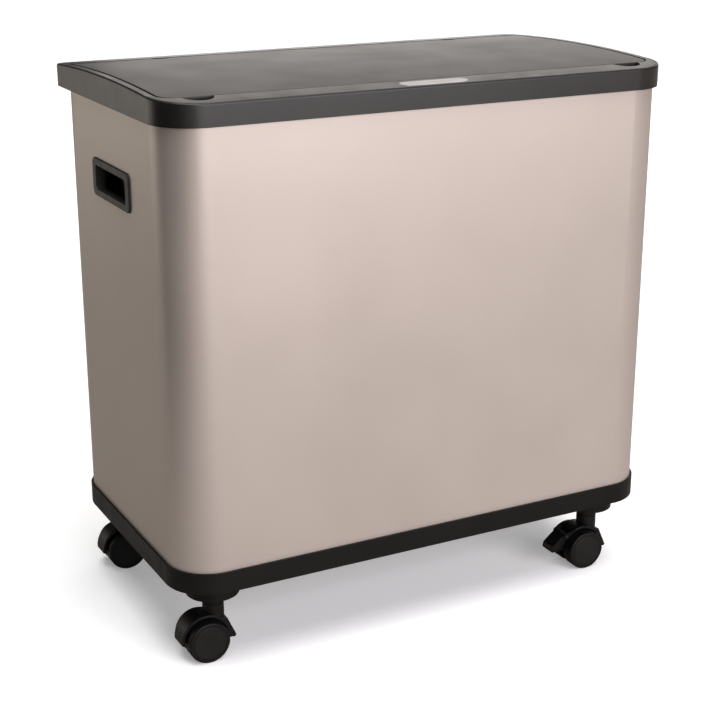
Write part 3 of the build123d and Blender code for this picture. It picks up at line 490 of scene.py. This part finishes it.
def makeStraps(side):
    low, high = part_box("bag_handles_" + side)
    middle = (low.x + high.x) / 2
    webs, sewing = bmesh.new(), bmesh.new()
    weave = webs.loops.layers.uv.new("weave")
    line = strapLine()
    for inward, face in ((1, low.y), (-1, high.y)):
        # a flat ribbon, laid along the line row by row: a modifier gives it its thickness
        ribbon = bmesh.ops.create_grid(webs, x_segments=2, y_segments=len(line) - 1, size=0.5)["verts"]
        run, runs = 0, [0]
        for here, there in zip(line, line[1:]):
            run += (there - here).length
            runs.append(run)
        spot = {}
        for vert in ribbon:
            step = round((vert.co.y + 0.5) * (len(line) - 1))
            before, after = line[max(0, step - 1)], line[min(len(line) - 1, step + 1)]
            along = (after - before).normalized()
            across = Vector((along.y, -along.x)) * vert.co.x * strap["width"]
            place = line[step] + across
            belly = strap["belly"] * smooth(strap["sewn"], strap["drop"], -place.y)
            y = face + inward * (strap["thickness"] / 2 + belly)
            weaveAt = (runs[step], vert.co.x * strap["width"])
            spot[vert] = (Vector((middle + place.x, y, high.z + place.y)), weaveAt)
        faces = {f for vert in ribbon for f in vert.link_faces}
        for f in faces:
            for loop in f.loops:
                loop[weave].uv = spot[loop.vert][1]
        for vert in ribbon:
            vert.co = spot[vert][0]
        # a box with a cross is sewn on the top of each leg
        reach, foot = strap["width"] / 2 - strap["margin"], strap["sewn"]
        for leg in (-1, 1):
            x = middle + leg * strap["span"] / 2
            y = face + inward * (strap["thickness"] + stitch["radius"] * stitch["proud"])
            corners = [Vector((x + sx * reach, y, high.z - d))
                       for sx, d in ((-1, strap["margin"]), (1, strap["margin"]), (1, foot), (-1, foot))]
            for a, b in ((0, 1), (1, 2), (2, 3), (3, 0), (0, 2), (1, 3)):
                count = int((corners[b] - corners[a]).length / stitch["step"])
                addStitches(sewing, [corners[a].lerp(corners[b], i / count) for i in range(count + 1)])
    bmesh.ops.recalc_face_normals(webs, faces=webs.faces)
    piece = finishPiece(webs, "bag_straps_" + side, webbing, "root")
    thicken = piece.modifiers.new("thickness", "SOLIDIFY")
    thicken.thickness, thicken.offset = strap["thickness"], 0
    rounded = piece.modifiers.new("edges", "BEVEL")
    rounded.width, rounded.segments = strap["edge"], 2
    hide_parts("bag_handles_" + side)

    # and a row of stitches closes the sleeve under the wire
    rimLow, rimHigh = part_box("bag_rim_" + side)
    wire = bag["wireRadius"]
    ringLow = Vector((rimLow.x + wire, rimLow.y + wire))
    ringHigh = Vector((rimHigh.x - wire, rimHigh.y - wire))
    ringZ = (rimLow.z + rimHigh.z) / 2 - stitch["underWire"]
    reach = wire + bag["sleeveGap"] + bag["wall"] + stitch["radius"] * stitch["proud"]
    count = 2 * int(bag["girth"] / stitch["step"] / 2)
    ring = []
    for i in range(count + 1):
        at, outward = roundedRing(i / count, ringLow, ringHigh, bag["wireCorner"])
        at = at - outward * reach
        ring.append(Vector((at.x, at.y, ringZ)))
    addStitches(sewing, ring)
    sewn = finishPiece(sewing, "bag_stitches_" + side, thread, "root")


for side, sign in (("left", -1), ("right", 1)):
    makeBag(side, sign)
    makeStraps(side)
print("bags and straps made")


# studio: white paper, an overcast light above, a tall softbox in front, a weak fill behind on the left,
# a wide lamp behind on the right and a black card that darkens the left side
studio = {
    "floor": 40.0, "floorColour": "#F6F6F6", "bounceColour": "#A09A94",
    "glow": 0.26,        # of the paper, to the eye only, so that no lamp's edge shows on it
    "world": 0.08,       # brightness of the surroundings, as light
    "backdrop": 1.06,    # and as seen behind the paper
    "sun": {"place": (0, -0.6, 4), "target": (0, 0, 0), "energy": 2.75, "angle": 50, "tint": "#FFFFFF"},
    "softbox": {"place": (0.45, -2.7, 1.15), "target": (0.10, -0.2, 0.6), "size": (2.7, 1.7), "energy": 75,
                "tint": "#FFF9FF"},
    "fill": {"place": (-2.2, 2.4, 0.5), "target": (-0.3, 0, 0.2), "size": (1.8, 0.9), "energy": 8,
             "tint": "#FFF6EA"},
    "wall": {"place": (2.65, 3.4, 1.2), "target": (0.2, 0, 0.7), "size": (3.7, 2.2), "energy": 34,
             "tint": "#FFF8F2"},
    "card": {"from": (-1.02, -0.95, 0), "to": (-1.12, 0.36, 0), "height": 1.25},
}


def stagePiece(shape, name, material):
    piece = addPiece(shape, name, material)
    return piece


sweep = bmesh.new()
bmesh.ops.create_grid(sweep, x_segments=1, y_segments=1, size=studio["floor"])
# white paper to the eye, greyer in what it throws back on the steel; sockets 6 and 7 are Mix's two colours
paper, tree, shader = newMaterial("paperSweep", {"Roughness": 0.9, "Specular IOR Level": 0.1})
eye = addNode(tree, "ShaderNodeLightPath").outputs["Is Camera Ray"]
tone = addNode(tree, "ShaderNodeMix", {"data_type": "RGBA", 6: linearColour(studio["bounceColour"]),
                                       7: linearColour(studio["floorColour"])}, {0: eye})
glow = addNode(tree, "ShaderNodeMath", {"operation": "MULTIPLY", 1: studio["glow"]}, {0: eye})
tree.links.new(tone.outputs[2], shader.inputs["Base Color"])
tree.links.new(glow.outputs[0], shader.inputs["Emission Strength"])
shader.inputs["Emission Color"].default_value = (1, 1, 1, 1)
stagePiece(sweep, "floor", paper)

card = studio["card"]
sheet = bmesh.new()
bmesh.ops.create_grid(sheet, x_segments=1, y_segments=1, size=0.5)
for vert in sheet.verts:
    foot = Vector(card["from"]).lerp(Vector(card["to"]), vert.co.x + 0.5)
    vert.co = foot + Vector((0, 0, card["height"] * (vert.co.y + 0.5)))
blackCard, tree, shader = newMaterial("cardBlack", {"Roughness": 1.0, "Specular IOR Level": 0.0})
shader.inputs["Base Color"].default_value = linearColour("#050505")
flag = stagePiece(sheet, "card", blackCard)
flag.visible_camera = flag.visible_shadow = False    # only what the steel reflects is darkened by it

world = bpy.data.worlds.new("studio")
world.use_nodes = True
backdrop = world.node_tree.nodes["Background"]
backdrop.inputs["Color"].default_value = (1, 1, 1, 1)
seen = addNode(world.node_tree, "ShaderNodeLightPath").outputs["Is Camera Ray"]
level = addNode(world.node_tree, "ShaderNodeMapRange",
                {"To Min": studio["world"], "To Max": studio["backdrop"]}, {"Value": seen})
world.node_tree.links.new(level.outputs["Result"], backdrop.inputs["Strength"])
bpy.context.scene.world = world


def addLamp(name, kind, look):
    light = bpy.data.lights.new(name, kind)
    light.energy = look["energy"]
    light.color = linearColour(look["tint"])[:3]
    if kind == "AREA":
        light.shape = "RECTANGLE"
        light.size, light.size_y = look["size"]
    else:
        light.angle = math.radians(look["angle"])
    lamp = bpy.data.objects.new(name, light)
    lamp.location = look["place"]
    lamp.rotation_euler = (Vector(look["target"]) - lamp.location).to_track_quat("-Z", "Y").to_euler()
    lamp.visible_camera = False
    bpy.context.scene.collection.objects.link(lamp)


addLamp("overcast", "SUN", studio["sun"])
addLamp("softbox", "AREA", studio["softbox"])
addLamp("fill", "AREA", studio["fill"])
addLamp("wall", "AREA", studio["wall"])
print("studio lit")
